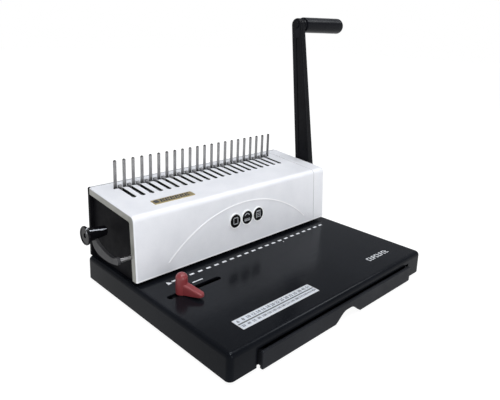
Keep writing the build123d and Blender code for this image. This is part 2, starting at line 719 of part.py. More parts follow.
# ---------------------------------------------------------------- hook carriage
CAM = []
for step in range(9):
    turn = OPENER_TURN * step / 8
    lean = radians(OPENER_REST - turn)
    CAM.append((
        OPENER_Y + OPENER_ARM * sin(lean) + OPENER_TRAVEL * step / 8,
        OPENER_Z + OPENER_ARM * cos(lean),
    ))
with BuildPart() as hook_carriage:
    with BuildSketch(Plane.XY.offset(HOOK_BAR_Z0)):
        with Locations((COMB_X, 112.0)):
            Rectangle(318.8, 24.0)
    extrude(amount=HOOK_BAR_T)
    # end plates with the cam slots
    for side in (-1, 1):
        x0 = COMB_X + side * 160.9 - 1.5
        with BuildSketch(Plane.YZ.offset(x0)):
            with BuildLine():
                Polyline(
                    (72.5, 92.0), (87.0, 92.0), (87.0, 112.0),
                    (124.0, 112.0), (124.0, 122.0), (72.5, 122.0), close=True,
                )
            make_face()
            with BuildSketch(mode=Mode.PRIVATE) as cam_slot:
                with Locations(*CAM):
                    Circle(2.85)
                make_hull()
            add(cam_slot.sketch, mode=Mode.SUBTRACT)
        extrude(amount=3.0)
hook_carriage.part.label = "hook_carriage"
export_step(hook_carriage.part, "parts/hook_carriage.step")

with BuildPart() as hooks:
    for x in RING_X:
        with BuildSketch(Plane.YZ.offset(x - 1.0)):
            with BuildLine():
                Polyline(
                    (112.0, 122.0), (128.0, 122.0), (128.0, 141.0),
                    (123.5, 141.0), (123.5, 125.0), (112.0, 125.0), close=True,
                )
            make_face()
        extrude(amount=2.0)
        with BuildSketch(Plane.XY.offset(138.4)):
            with Locations((x - 2.6, 125.5)):
                Rectangle(3.2, 4.0)
        extrude(amount=2.6)
hooks.part.label = "hooks"
export_step(hooks.part, "parts/hooks.step")

# ---------------------------------------------------------------- comb opener
with BuildPart() as opener_shaft:
    with BuildSketch(Plane.YZ.offset(ARM_X0 + 1.2)):
        with Locations((OPENER_Y, OPENER_Z)):
            Circle(OPENER_R)
    extrude(amount=FRAME_RX + FRAME_T - ARM_X0 - 1.2)
opener_shaft.part.label = "opener_shaft"
export_step(opener_shaft.part, "parts/opener_shaft.step")

CAM_PIN = CAM[0]
with BuildPart() as opener_cranks:
    for side in (-1, 1):
        with BuildSketch(Plane.YZ.offset(COMB_X + side * 157.2 - 1.6)):
            with Locations((OPENER_Y, OPENER_Z)):
                Circle(6.5)
            with Locations(CAM_PIN):
                Circle(4.6)
            make_hull()
            with Locations((OPENER_Y, OPENER_Z)):
                Circle(OPENER_R + 0.02, mode=Mode.SUBTRACT)
            with Locations(CAM_PIN):
                Circle(2.52, mode=Mode.SUBTRACT)
        extrude(amount=3.2)
opener_cranks.part.label = "opener_cranks"
export_step(opener_cranks.part, "parts/opener_cranks.step")

with BuildPart() as crank_pins:
    for x0 in (COMB_X - 162.6, COMB_X + 155.6):
        with BuildSketch(Plane.YZ.offset(x0)):
            with Locations(CAM_PIN):
                Circle(2.5)
        extrude(amount=7.0)
crank_pins.part.label = "crank_pins"
export_step(crank_pins.part, "parts/crank_pins.step")

with BuildPart() as opener_arm:
    with BuildSketch(Plane.YZ.offset(ARM_X0)):
        # curved blade, narrow at the shaft and broad towards the knob
        with BuildLine():
            upper = Spline((OPENER_Y, OPENER_Z + 4.4), (57.0, 74.8), (72.0, 76.4), (84.0, 79.2), (98.6, 87.6))
            lower = Spline((OPENER_Y, OPENER_Z - 4.4), (56.0, 66.9), (78.0, 66.0), (97.0, 70.4), (107.6, 86.4))
            Line(upper @ 0, lower @ 0)
            Line(upper @ 1, lower @ 1)
        make_face()
        with Locations((OPENER_Y, OPENER_Z)):
            Circle(4.7)
        with Locations((KNOB_Y, KNOB_Z)):
            Circle(5.4)
        with Locations((KNOB_Y, KNOB_Z)):
            Circle(2.02, mode=Mode.SUBTRACT)
    extrude(amount=ARM_T)
    # blind bore for the shaft
    with BuildSketch(Plane.YZ.offset(ARM_X0 + 1.2)):
        with Locations((OPENER_Y, OPENER_Z)):
            Circle(OPENER_R + 0.02)
    extrude(amount=ARM_T, mode=Mode.SUBTRACT)
opener_arm.part.label = "opener_arm"
export_step(opener_arm.part, "parts/opener_arm.step")

# knob with a tapered barrel pressed over the end of the arm, held by one screw
KNOB_PLANE = Plane(origin=(0, KNOB_Y, KNOB_Z), x_dir=(1, 0, 0), z_dir=(0, -1, 0))
KNOB_AXIS = Axis((0, KNOB_Y, KNOB_Z), (1, 0, 0))
with BuildPart() as opener_knob:
    with BuildSketch(KNOB_PLANE):
        with BuildLine():
            Polyline(
                (KNOB_X0 + 5.0, 0.0), (KNOB_X0 + 5.0, 3.3), (KNOB_X0 + 0.8, 3.3), (KNOB_X0 + 0.8, 10.3),
                (KNOB_X0, 10.9), (KNOB_X0, KNOB_R - 0.8), (KNOB_X0 + 0.8, KNOB_R),
                (KNOB_X0 + 2.4, KNOB_R), (KNOB_X0 + 3.4, KNOB_R - 0.9), (KNOB_X0 + 4.0, 9.6),
                (KNOB_X1 - 1.0, 6.6), (KNOB_X1, 5.6), (KNOB_X1, 0.0), close=True,
            )
        make_face()
    revolve(axis=KNOB_AXIS)
    # slot in the barrel that takes the end of the arm
    add(opener_arm.part, mode=Mode.SUBTRACT)
    with BuildSketch(Plane.YZ.offset(KNOB_X0 + 2.0)):
        with Locations((KNOB_Y, KNOB_Z)):
            Circle(2.02)
    extrude(amount=25.0, mode=Mode.SUBTRACT)
opener_knob.part.label = "opener_knob"
export_step(opener_knob.part, "parts/opener_knob.step")

with BuildPart() as knob_screw:
    with BuildSketch(Plane.YZ.offset(KNOB_X0 + 2.6)):
        with Locations((KNOB_Y, KNOB_Z)):
            Circle(2.7)
            RegularPolygon(1.3, 6, mode=Mode.SUBTRACT)
    extrude(amount=2.4)
    with BuildSketch(Plane.YZ.offset(KNOB_X0 + 4.0)):
        with Locations((KNOB_Y, KNOB_Z)):
            Circle(2.0)
    extrude(amount=22.0)
knob_screw.part.label = "knob_screw"
export_step(knob_screw.part, "parts/knob_screw.step")

# ---------------------------------------------------------------- white head cover
with BuildPart() as head_cover:
    with BuildSketch(Plane.YZ.offset(HEAD_X0)):
        with BuildLine():
            Polyline(*head_outline(0.0), close=True)
        make_face()
        fillet(vertices().sort_by(Axis.Y)[-2], radius=8.0)
        fillet(vertices().sort_by(Axis.Z)[0:2].sort_by(Axis.Y)[0], radius=1.8)
    extrude(amount=SEAM_X - HEAD_X0)
    left_face = head_cover.faces().sort_by(Axis.X)[0]
    fillet(left_face.edges().sort_by(Axis.Z)[1:].filter_by_position(Axis.Y, 0.0, 140.0), radius=2.4)
    # hollow behind the rim
    with BuildSketch(Plane.YZ.offset(HEAD_X0 + 4.5)):
        with BuildLine():
            Polyline(*head_inside(COVER_T), close=True)
        make_face()
        fillet(vertices().sort_by(Axis.Y)[-2], radius=5.0)
    extrude(amount=SEAM_X - HEAD_X0, mode=Mode.SUBTRACT)
    # opening inside the rim at the left end
    with BuildSketch(Plane.YZ.offset(HEAD_X0 - 1)):
        with BuildLine():
            Polyline(*head_inside(RIM_W), close=True)
        make_face()
        fillet(vertices().sort_by(Axis.Y)[-2], radius=3.0)
        # notch that clears the opener shaft
        with Locations((OPENER_Y, OPENER_Z)):
            Circle(OPENER_R + 0.4)
    extrude(amount=8.0, mode=Mode.SUBTRACT)
    # one L-shaped slot per ring, its short leg around the tine beside it
    with BuildSketch(Plane.XY.offset(118.0)):
        with Locations(*[(x, (SLOT_Y0 + SLOT_Y1) / 2 + 1.4) for x in RING_X]):
            Rectangle(SLOT_W, SLOT_Y1 - SLOT_Y0 - 2.8)
        with Locations(*[(x, SLOT_Y0 + 3.6) for x in RING_X]):
            Circle(3.6)
        with Locations(*[(x + 1.5, TINE_Y + 0.3) for x in TINE_X[:-1]]):
            Rectangle(8.6, 4.0)
        with Locations((TINE_X[-1], TINE_Y + 0.3)):
            Rectangle(5.8, 4.0)
    extrude(amount=25.0, mode=Mode.SUBTRACT)
    # thin raised arc across the front
    with BuildSketch(FRONT_PLANE):
        with Locations((ARC_X, ARC_TOP_Z - 84.0 - ARC_R)):
            Circle(ARC_R + 0.7)
            Circle(ARC_R - 0.7, mode=Mode.SUBTRACT)
        with Locations((ARC_X, 71.5)):
            Rectangle(2 * ARC_R, 200.0, mode=Mode.INTERSECT)
    extrude(amount=0.5)
head_cover.part.label = "head_cover"
export_step(head_cover.part, "parts/head_cover.step")

# ---------------------------------------------------------------- end cover on the lever side
with BuildPart() as end_cover:
    with BuildSketch(Plane.YZ.offset(SEAM_X + 0.5)):
        with BuildLine():
            Polyline(*head_outline(0.0), close=True)
        make_face()
        fillet(vertices().sort_by(Axis.Y)[-2], radius=8.0)
    extrude(amount=HEAD_X1 - SEAM_X - 0.5)
    fillet(end_cover.faces().sort_by(Axis.X)[-1].edges().sort_by(Axis.Z)[1:], radius=1.5)
    with BuildSketch(Plane.YZ.offset(SEAM_X)):
        with BuildLine():
            Polyline(*head_inside(COVER_T), close=True)
        make_face()
        fillet(vertices().sort_by(Axis.Y)[-2], radius=5.0)
    extrude(amount=HEAD_X1 - SEAM_X - 2.5, mode=Mode.SUBTRACT)
    with BuildSketch(Plane.YZ.offset(HEAD_X1 - 5.0)):
        with Locations((SHAFT_Y, SHAFT_Z)):
            Circle(10.0)
    extrude(amount=8.0, mode=Mode.SUBTRACT)
end_cover.part.label = "end_cover"
export_step(end_cover.part, "parts/end_cover.step")

# ---------------------------------------------------------------- panel inside the left rim
with BuildPart() as side_panel:
    with BuildSketch(Plane.YZ.offset(FRAME_LX - 1.6)):
        with BuildLine():
            Polyline(
                (front_y(HEAD_Z0) + 3.6, BASE_TOP + 0.4), (front_y(HEAD_FRONT_Z1) + 3.6, 118.6),
                (front_y(HEAD_FRONT_Z1) + 8.0, 124.6), (HEAD_BACK_Y - 0.4, top_z(HEAD_BACK_Y) - 3.6),
                (HEAD_BACK_Y - 0.4, BASE_TOP + 0.4), close=True,
            )
        make_face()
        with Locations((OPENER_Y, OPENER_Z)):
            Circle(OPENER_R + 0.4, mode=Mode.SUBTRACT)
    extrude(amount=1.6)
side_panel.part.label = "side_panel"
export_step(side_panel.part, "parts/side_panel.step")

# ---------------------------------------------------------------- rear panel
with BuildPart() as rear_panel:
    with BuildSketch(Plane.XZ.offset(-HEAD_BACK_Y)):
        with Locations(((HEAD_X0 + HEAD_X1) / 2, (BASE_TOP + 137.8) / 2)):
            RectangleRounded(HEAD_X1 - HEAD_X0 - 0.2, 137.8 - BASE_TOP, 2.0)
        with Locations(*REAR_SCREW_XZ):
            Circle(1.8, mode=Mode.SUBTRACT)
    extrude(amount=-REAR_T)
    outer_face = rear_panel.faces().sort_by(Axis.Y)[-1]
    fillet(outer_face.outer_wire().edges(), radius=0.8)
rear_panel.part.label = "rear_panel"
export_step(rear_panel.part, "parts/rear_panel.step")

with BuildPart() as rear_screws:
    for x, z in REAR_SCREW_XZ:
        with BuildSketch(Plane.XZ.offset(-HEAD_BACK_Y - REAR_T)):
            with Locations((x, z)):
                Circle(3.4)
        extrude(amount=-1.6)
        with BuildSketch(Plane.XZ.offset(-HEAD_BACK_Y - REAR_T)):
            with Locations((x, z)):
                Circle(1.7)
        extrude(amount=11.0)
rear_screws.part.label = "rear_screws"
export_step(rear_screws.part, "parts/rear_screws.step")

# blocks on the side frames that take the rear screws
with BuildPart() as panel_blocks:
    for x, z in REAR_SCREW_XZ:
        with BuildSketch(Plane.XZ.offset(-HEAD_BACK_Y)):
            with Locations((x, z)):
                Rectangle(10.0, 12.0)
                Circle(1.72, mode=Mode.SUBTRACT)
        extrude(amount=8.0)
panel_blocks.part.label = "panel_blocks"
export_step(panel_blocks.part, "parts/panel_blocks.step")

# ---------------------------------------------------------------- badges on the front
BADGE_X = [-65.2, -41.6, -18.8]
with BuildPart() as badges:
    with BuildSketch(FRONT_PLANE):
        with Locations(*[(x, 0) for x in BADGE_X]):
            Circle(10.0)
    extrude(amount=1.2)
badges.part.label = "badges"
export_step(badges.part, "parts/badges.step")

with BuildPart() as badge_rims:
    with BuildSketch(FRONT_PLANE):
        with Locations(*[(x, 0) for x in BADGE_X]):
            Circle(11.3)
            Circle(10.0, mode=Mode.SUBTRACT)
    extrude(amount=1.6)
badge_rims.part.label = "badge_rims"
export_step(badge_rims.part, "parts/badge_rims.step")

# ---------------------------------------------------------------- plate on the top
with BuildPart() as top_badge:
    with BuildSketch(TOP_PLANE):
        with Locations((-154.2, 0)):
            RectangleRounded(65.6, 12.5, 1.0)
    extrude(amount=0.9)
top_badge.part.label = "top_badge"
export_step(top_badge.part, "parts/top_badge.step")

# ---------------------------------------------------------------- printing on the base top
with BuildPart() as table_label:
    with BuildSketch(Plane.XY.offset(BASE_TOP)):
        with Locations((-127.25, -111.5)):
            Rectangle(131.5, 20.0)
    extrude(amount=0.25)
table_label.part.label = "table_label"
export_step(table_label.part, "parts/table_label.step")

with BuildPart() as scale_marks:
    with BuildSketch(Plane.XY.offset(BASE_TOP)):
        with Locations(*[(-200.5 + PITCH * i, 15.4) for i in range(1, RINGS + 2)]):
            Rectangle(7.2, 3.2)
        with Locations((-163.0, -3.4)):
            Rectangle(16.5, 1.8)
        with Locations((15.4, 9.2)):
            Rectangle(1.2, 2.4)
        # pointer at the start of the scale
        with BuildLine():
            Polyline((-197.0, 18.6), (-198.6, 10.6), (-191.2, 12.6), close=True)
        make_face()
    extrude(amount=0.2)
scale_marks.part.label = "scale_marks"
export_step(scale_marks.part, "parts/scale_marks.step")

# ---------------------------------------------------------------- margin guide
with BuildPart() as guide_clamp:
    with BuildSketch(Plane.XY.offset(BASE_TOP - BASE_WALL - 3.4)):
        with Locations((GUIDE_X, GUIDE_Y)):
            RectangleRounded(24.0, 16.0, 2.0)
    extrude(amount=3.0)
    with BuildSketch(Plane.XY.offset(BASE_TOP - BASE_WALL - 0.6)):
        with Locations((GUIDE_X, GUIDE_Y)):
            RectangleRounded(12.0, 7.6, 3.7)
    extrude(amount=3.9)
    with BuildSketch(Plane.XY.offset(BASE_TOP - BASE_WALL - 5.0)):
        with Locations((GUIDE_X, GUIDE_Y)):
            Circle(2.0)
    extrude(amount=10.0, mode=Mode.SUBTRACT)
guide_clamp.part.label = "guide_clamp"
export_step(guide_clamp.part, "parts/guide_clamp.step")

with BuildPart() as guide_stud:
    with BuildSketch(Plane.XY.offset(BASE_TOP - BASE_WALL - 6.6)):
        with Locations((GUIDE_X, GUIDE_Y)):
            RegularPolygon(4.0, 6)
    extrude(amount=3.2)
    with BuildSketch(Plane.XY.offset(BASE_TOP - BASE_WALL - 3.6)):
        with Locations((GUIDE_X, GUIDE_Y)):
            Circle(1.98)
    extrude(amount=26.0)
guide_stud.part.label = "guide_stud"
export_step(guide_stud.part, "parts/guide_stud.step")

GUIDE_AIM = radians(-71.6)
GUIDE_REACH = 27.0
GUIDE_TIP = (GUIDE_X + GUIDE_REACH * cos(GUIDE_AIM), GUIDE_Y + GUIDE_REACH * sin(GUIDE_AIM))
GUIDE_PLANE = Plane(
    origin=(GUIDE_X, GUIDE_Y, 0), x_dir=(cos(GUIDE_AIM), sin(GUIDE_AIM), 0),
    z_dir=(sin(GUIDE_AIM), -cos(GUIDE_AIM), 0),
)
with BuildPart() as guide_knob:
    # thumb arm, lower towards its tip
    with BuildSketch(Plane.XY.offset(BASE_TOP + 1.0)):
        with Locations((GUIDE_X, GUIDE_Y)):
            Circle(5.4)
        with Locations(GUIDE_TIP):
            Circle(4.9)
        make_hull()
    extrude(amount=17.0)
    with BuildSketch(GUIDE_PLANE):
        with BuildLine():
            Polyline((-8.0, 55.8), (36.0, 44.0), (36.0, 60.0), (-8.0, 60.0), close=True)
        make_face()
    extrude(amount=10.0, both=True, mode=Mode.SUBTRACT)
    with BuildSketch(GUIDE_PLANE):
        with BuildLine():
            Polyline((8.0, 36.0), (8.0, 38.5), (36.0, 42.2), (36.0, 36.0), close=True)
        make_face()
    extrude(amount=10.0, both=True, mode=Mode.SUBTRACT)
    fillet(guide_knob.faces().sort_by(Axis.Z)[-1].edges(), radius=2.2)
    # post
    with BuildSketch(Plane.XY.offset(BASE_TOP + 0.6)):
        with Locations((GUIDE_X, GUIDE_Y)):
            Circle(7.6)
    extrude(amount=26.4)
    fillet(guide_knob.faces().sort_by(Axis.Z)[-1].edges(), radius=6.6)
    with BuildSketch(Plane.XY.offset(BASE_TOP)):
        with Locations((GUIDE_X, GUIDE_Y)):
            Circle(2.02)
    extrude(amount=20.0, mode=Mode.SUBTRACT)
guide_knob.part.label = "guide_knob"
export_step(guide_knob.part, "parts/guide_knob.step")
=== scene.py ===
import json
import math

import bmesh
import bpy
from mathutils import Matrix, Vector

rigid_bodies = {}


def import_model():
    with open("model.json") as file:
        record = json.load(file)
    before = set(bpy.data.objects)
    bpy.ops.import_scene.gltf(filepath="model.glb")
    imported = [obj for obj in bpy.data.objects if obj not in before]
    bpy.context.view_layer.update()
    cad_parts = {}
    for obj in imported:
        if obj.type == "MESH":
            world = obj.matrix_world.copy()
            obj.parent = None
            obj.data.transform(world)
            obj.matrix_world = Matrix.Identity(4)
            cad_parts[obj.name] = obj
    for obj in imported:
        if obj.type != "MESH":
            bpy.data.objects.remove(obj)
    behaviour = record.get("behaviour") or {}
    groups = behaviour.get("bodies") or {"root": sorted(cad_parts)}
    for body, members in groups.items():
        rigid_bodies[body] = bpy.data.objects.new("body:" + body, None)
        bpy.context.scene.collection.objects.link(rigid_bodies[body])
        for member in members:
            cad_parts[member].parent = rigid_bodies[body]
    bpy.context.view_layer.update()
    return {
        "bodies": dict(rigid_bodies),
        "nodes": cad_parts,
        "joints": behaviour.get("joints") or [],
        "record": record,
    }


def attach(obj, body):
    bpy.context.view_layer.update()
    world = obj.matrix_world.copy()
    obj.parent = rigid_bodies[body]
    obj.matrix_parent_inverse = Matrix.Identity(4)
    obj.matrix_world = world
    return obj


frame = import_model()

NODES = frame["nodes"]
MM = 0.001
# outer skin of the head: left end, seam side, lower edge, leaning front and rising top (m)
HEAD_X0 = -232.0 * MM
HEAD_X1 = 140.3 * MM
HEAD_Z0 = 42.5 * MM
FRONT_Y0 = 31.0 * MM
TOP_EDGE_Y = 36.4 * MM
TOP_EDGE_Z = 128.1 * MM
FRONT_LEAN = (TOP_EDGE_Y - FRONT_Y0) / (TOP_EDGE_Z - HEAD_Z0)
TOP_SLOPE = 0.09
HEAD_ROUND = 8.0 * MM
RIM_DEPTH = 4.3 * MM
# where the tines leave the head and where they end (m)
TINE_FOOT = 137.0 * MM
TINE_TOP = 176.0 * MM
# painted highlight: a pale band along the upper edge of the rear panel: its lowest height and its left end
# (m)
REAR_HIGHLIGHT_Z = 136.5 * MM
REAR_HIGHLIGHT_X0 = -229.0 * MM
# painted highlight: a pale line along the barrel of the opener knob, standing in for a streak of light:
# its depth, its lowest height and its half width (m)
KNOB_HIGHLIGHT_Y = 97.9 * MM
KNOB_HIGHLIGHT_Z = 95.0 * MM
KNOB_HIGHLIGHT_HALF = 0.75 * MM


def front_y(z):
    """Depth of the head's front face at height z."""
    return FRONT_Y0 + FRONT_LEAN * (z - HEAD_Z0)


def top_z(y):
    """Height of the head's top face at depth y."""
    return TOP_EDGE_Z + TOP_SLOPE * (y - TOP_EDGE_Y)


# ------------------------------------------------------------------ materials
class Graph:
    """A material's nodes, with short calls to add and join them."""

    def __init__(self, name):
        self.mat = bpy.data.materials.new(name)
        self.mat.use_nodes = True
        self.tree = self.mat.node_tree
        self.tree.nodes.clear()
        self.out = self.tree.nodes.new("ShaderNodeOutputMaterial")
        self.bsdf = self.tree.nodes.new("ShaderNodeBsdfPrincipled")
        self.link(self.bsdf.outputs[0], self.out.inputs[0])
        self.coords = self.tree.nodes.new("ShaderNodeTexCoord").outputs["Object"]

    def split(self, vector):
        """The x, y and z outputs of a vector."""
        made = self.node("SeparateXYZ")
        self.link(vector, made.inputs[0])
        return made.outputs

    def facing(self):
        """The x, y and z of the surface's own direction."""
        return self.split(self.node("TexCoord").outputs["Normal"])

    def node(self, kind, **values):
        """A new shader node with its settings."""
        made = self.tree.nodes.new("ShaderNode" + kind)
        for key, value in values.items():
            setattr(made, key, value)
        return made

    def link(self, a, b):
        self.tree.links.new(a, b)

    def stretched(self, scale):
        """Object coordinates scaled along each axis."""
        mapping = self.node("Mapping")
        mapping.inputs["Scale"].default_value = scale
        self.link(self.coords, mapping.inputs["Vector"])
        return mapping.outputs[0]

    def noise(self, size, detail=3.0, rough=0.5, stretch=(1, 1, 1), distortion=0.0):
        """Noise with features about size metres across."""
        made = self.node("TexNoise")
        made.inputs["Scale"].default_value = 1.0 / size
        made.inputs["Detail"].default_value = detail
        made.inputs["Roughness"].default_value = rough
        made.inputs["Distortion"].default_value = distortion
        self.link(self.stretched(stretch), made.inputs["Vector"])
        return made.outputs["Fac"]

    def cells(self, size):
        """Distance from the middle of cells about size metres across."""
        made = self.node("TexVoronoi")
        made.inputs["Scale"].default_value = 1.0 / size
        self.link(self.coords, made.inputs["Vector"])
        return made.outputs[0]

    def span(self, value, low, high, to_low=0.0, to_high=1.0):
        """value from low to high, as to_low to to_high."""
        made = self.node("MapRange")
        self.link(value, made.inputs["Value"])
        for key, number in zip(("From Min", "From Max", "To Min", "To Max"), (low, high, to_low, to_high)):
            made.inputs[key].default_value = number
        return made.outputs[0]

    def math(self, operation, a, b=0.0):
        """The result of a Math node on numbers or outputs."""
        made = self.node("Math", operation=operation)
        for socket, value in zip(made.inputs, (a, b)):
            if isinstance(value, (int, float)):
                socket.default_value = value
            else:
                self.link(value, socket)
        return made.outputs[0]

    def mix(self, amount, a, b):
        """Colour a where amount is 0 and b where it is 1."""
        made = self.node("Mix", data_type="RGBA")
        for socket, value in ((made.inputs[0], amount), (made.inputs[6], a), (made.inputs[7], b)):
            if isinstance(value, (int, float)):
                socket.default_value = value
            elif isinstance(value, tuple):
                socket.default_value = (*value, 1.0)
            else:
                self.link(value, socket)
        return made.outputs[2]

    def bump(self, height, depth, under=None):
        """A bump of depth metres, on top of another one where under is given."""
        made = self.node("Bump")
        made.inputs["Strength"].default_value = 1.0
        made.inputs["Distance"].default_value = depth
        self.link(height, made.inputs["Height"])
        if under is not None:
            self.link(under, made.inputs["Normal"])
        return made.outputs[0]

    def wear(self):
        """Where the surface is an outer edge, from 0 to 1."""
        return self.span(self.node("NewGeometry").outputs["Pointiness"], 0.52, 0.62)

    def set(self, colour=None, roughness=None, normal=None, **fixed):
        """Give the surface its inputs, as constants or as linked outputs; returns the material."""
        for socket, value in (("Base Color", colour), ("Roughness", roughness), ("Normal", normal)):
            if value is None:
                continue
            if isinstance(value, tuple):
                self.bsdf.inputs[socket].default_value = (*value, 1.0)
            elif isinstance(value, (int, float)):
                self.bsdf.inputs[socket].default_value = value
            else:
                self.link(value, self.bsdf.inputs[socket])
        for key, value in fixed.items():
            self.bsdf.inputs[key.replace("_", " ")].default_value = value
        return self.mat


def moulded(
    name, dark, light, rough, *, grain=0.0004, depth=0.00002, spec=0.5, rough_spread=0.06,
    sheen_up=None, knob_highlight=False,
):
    """Moulded plastic: an even fine grain, a slow drift of tone, faint handling marks.

    sheen_up gives faces that look up a gloss of their own; the last flag paints a pale highlight line along
    the knob's barrel.
    """
    g = Graph(name)
    drift = g.noise(0.09, 2.0)
    fine = g.noise(grain, 2.0, 0.6)
    tone = g.mix(g.span(drift, 0.35, 0.65), dark, light)
    tone = g.mix(g.span(fine, 0.4, 0.75, 0.0, 0.35), tone, light)
    smear = g.noise(0.018, 5.0, 0.65, (1, 2.5, 1), 0.6)
    roughness = g.span(smear, 0.3, 0.7, rough - rough_spread, rough + rough_spread)
    normal = g.bump(g.cells(grain * 2.0), depth, g.bump(drift, 0.00005))
    if knob_highlight:
        x, y, z = g.split(g.coords)
        beside = g.math("ABSOLUTE", g.math("SUBTRACT", y, KNOB_HIGHLIGHT_Y))
        above = g.span(z, KNOB_HIGHLIGHT_Z - 0.2 * MM, KNOB_HIGHLIGHT_Z + 0.2 * MM)
        # painted highlight: a pale streak along the upper front of the knob's barrel
        painted_streak = g.math("MULTIPLY", g.span(beside, KNOB_HIGHLIGHT_HALF, 0.6 * KNOB_HIGHLIGHT_HALF), above)
        tone = g.mix(painted_streak, tone, (0.42, 0.44, 0.48))
    g.set(tone, roughness, normal, Specular_IOR_Level=spec)
    if sheen_up is not None:
        g.set(Specular_Tint=(0.84, 0.92, 1.0, 1.0))
        g.link(g.span(g.facing()["Z"], 0.35, 0.9, spec, sheen_up), g.bsdf.inputs["Specular IOR Level"])
    return g.mat


def pearl_paint():
    """Satin pearl paint: fine flakes and slight orange peel outside.

    The lower lip and the raised arc of the front are painted brighter as highlights, the faces of the left
    end are a darker grey, and everything beneath the outer skin is painted near-black as shade.
    """
    g = Graph("pearl_paint")
    flake = g.cells(0.00045)
    cloud = g.noise(0.035, 3.0, 0.55)
    peel = g.noise(0.0035, 2.0, 0.5)
    tone = g.mix(g.span(cloud, 0.35, 0.65), (0.66, 0.675, 0.715), (0.71, 0.722, 0.76))
    tone = g.mix(g.span(flake, 0.1, 0.75, 0.30, 0.0), tone, (0.84, 0.85, 0.88))
    x, y, z = g.split(g.coords)
    # painted highlight: the lower lip of the front is painted brighter
    lip_highlight = g.span(z, HEAD_Z0 + 2.6 * MM, HEAD_Z0 + 1.6 * MM, 0.0, 0.75)
    tone = g.mix(lip_highlight, tone, (0.88, 0.89, 0.91))
    # faces turned to the left are painted a darker grey-beige
    end = g.span(g.facing()["X"], -0.80, -0.97)
    left_face_grey = g.mix(g.span(g.noise(0.012, 3.0), 0.35, 0.65), (0.205, 0.205, 0.185), (0.25, 0.248, 0.225))
    tone = g.mix(end, tone, left_face_grey)
    # depth under the sloping top, the leaning front, the left end and the lower edge
    under_top = g.math("SUBTRACT", g.math("ADD", g.math("MULTIPLY", y, TOP_SLOPE), top_z(0.0)), z)
    behind_front = g.math("SUBTRACT", y, g.math("ADD", g.math("MULTIPLY", z, FRONT_LEAN), front_y(0.0)))
    # painted highlight: the arc that stands out of the front is painted bright
    tone = g.mix(g.span(behind_front, -0.10 * MM, -0.30 * MM), tone, (0.93, 0.935, 0.95))
    # the corner between top and front is rounded
    over = g.math("MAXIMUM", g.math("SUBTRACT", HEAD_ROUND, under_top), 0.0)
    ahead = g.math("MAXIMUM", g.math("SUBTRACT", HEAD_ROUND, behind_front), 0.0)
    reach = g.math("SQRT", g.math("ADD", g.math("MULTIPLY", over, over), g.math("MULTIPLY", ahead, ahead)))
    depth = g.math("SUBTRACT", HEAD_ROUND, reach)
    depth = g.math("MINIMUM", depth, g.math("SUBTRACT", x, HEAD_X0 + RIM_DEPTH))
    depth = g.math("MINIMUM", depth, g.math("SUBTRACT", HEAD_X1, x))
    depth = g.math("MINIMUM", depth, g.math("SUBTRACT", z, HEAD_Z0 + 0.4 * MM))
    # painted shade: everything deeper than the outer skin is painted near-black
    inside = g.span(depth, 0.45 * MM, 0.8 * MM)
    tone = g.mix(inside, tone, (0.010, 0.009, 0.009))
    roughness = g.span(g.noise(0.02, 4.0, 0.6), 0.3, 0.7, 0.30, 0.40)
    roughness = g.math("MAXIMUM", roughness, g.math("MULTIPLY", inside, 0.8))
    normal = g.bump(flake, 0.000006, g.bump(peel, 0.00004))
    return g.set(
        tone, roughness, normal, Metallic=0.05, Specular_IOR_Level=0.4, Coat_Weight=0.15, Coat_Roughness=0.25
    )


def powder_coat(name, dark, light, rough, spec, edge_highlight=False):
    """Powder-coated steel: orange peel, pinhead specks, and edges rubbed a little paler.

    seal paints a highlight: a pale band along the rear panel's upper edge.
    """
    g = Graph(name)
    peel = g.noise(0.0011, 2.0, 0.5)
    speck = g.cells(0.0007)
    tone = g.mix(g.span(g.noise(0.05, 3.0), 0.35, 0.65), dark, light)
    tone = g.mix(g.math("MULTIPLY", g.wear(), 0.35), tone, tuple(3.0 * c for c in light))
    if edge_highlight:
        x, y, z = g.split(g.coords)
        # painted highlight along the panel's upper edge
        upper = g.span(z, REAR_HIGHLIGHT_Z - 0.2 * MM, REAR_HIGHLIGHT_Z + 0.2 * MM)
        inner = g.span(x, REAR_HIGHLIGHT_X0 - 0.5 * MM, REAR_HIGHLIGHT_X0 + 0.5 * MM)
        tone = g.mix(g.math("MULTIPLY", upper, inner), tone, (0.42, 0.43, 0.45))
    roughness = g.span(g.noise(0.012, 4.0, 0.6), 0.3, 0.7, rough - 0.07, rough + 0.07)
    normal = g.bump(speck, 0.00001, g.bump(peel, 0.00005))
    return g.set(tone, roughness, normal, Specular_IOR_Level=spec)


def metal(name, dark, light, rough, stretch, scratch=0.00035, depth=0.000008, ends=None):
    """Plated or ground metal: fine lines along one way and faint cloudy stains.

    ends (low, high) darkens it below the low height, as painted shade where a tine leaves the head, and
    above the high one.
    """
    g = Graph(name)
    lines = g.noise(scratch, 4.0, 0.6, stretch)
    stain = g.noise(0.015, 4.0, 0.6)
    tone = g.mix(g.span(stain, 0.35, 0.7), dark, light)
    tone = g.mix(g.span(lines, 0.35, 0.7, 0.0, 0.4), tone, tuple(0.7 * c for c in dark))
    if ends is not None:
        x, y, z = g.split(g.coords)
        # painted shade where the tine leaves the head; the tip is darkened too
        foot_shade = g.span(z, ends[0] + 6.0 * MM, ends[0])
        tip = g.span(z, ends[1] - 2.0 * MM, ends[1])
        tone = g.mix(g.math("MAXIMUM", foot_shade, tip), tone, tuple(0.16 * c for c in dark))
    roughness = g.span(lines, 0.3, 0.7, rough - 0.08, rough + 0.1)
    return g.set(tone, roughness, g.bump(lines, depth), Metallic=1.0)


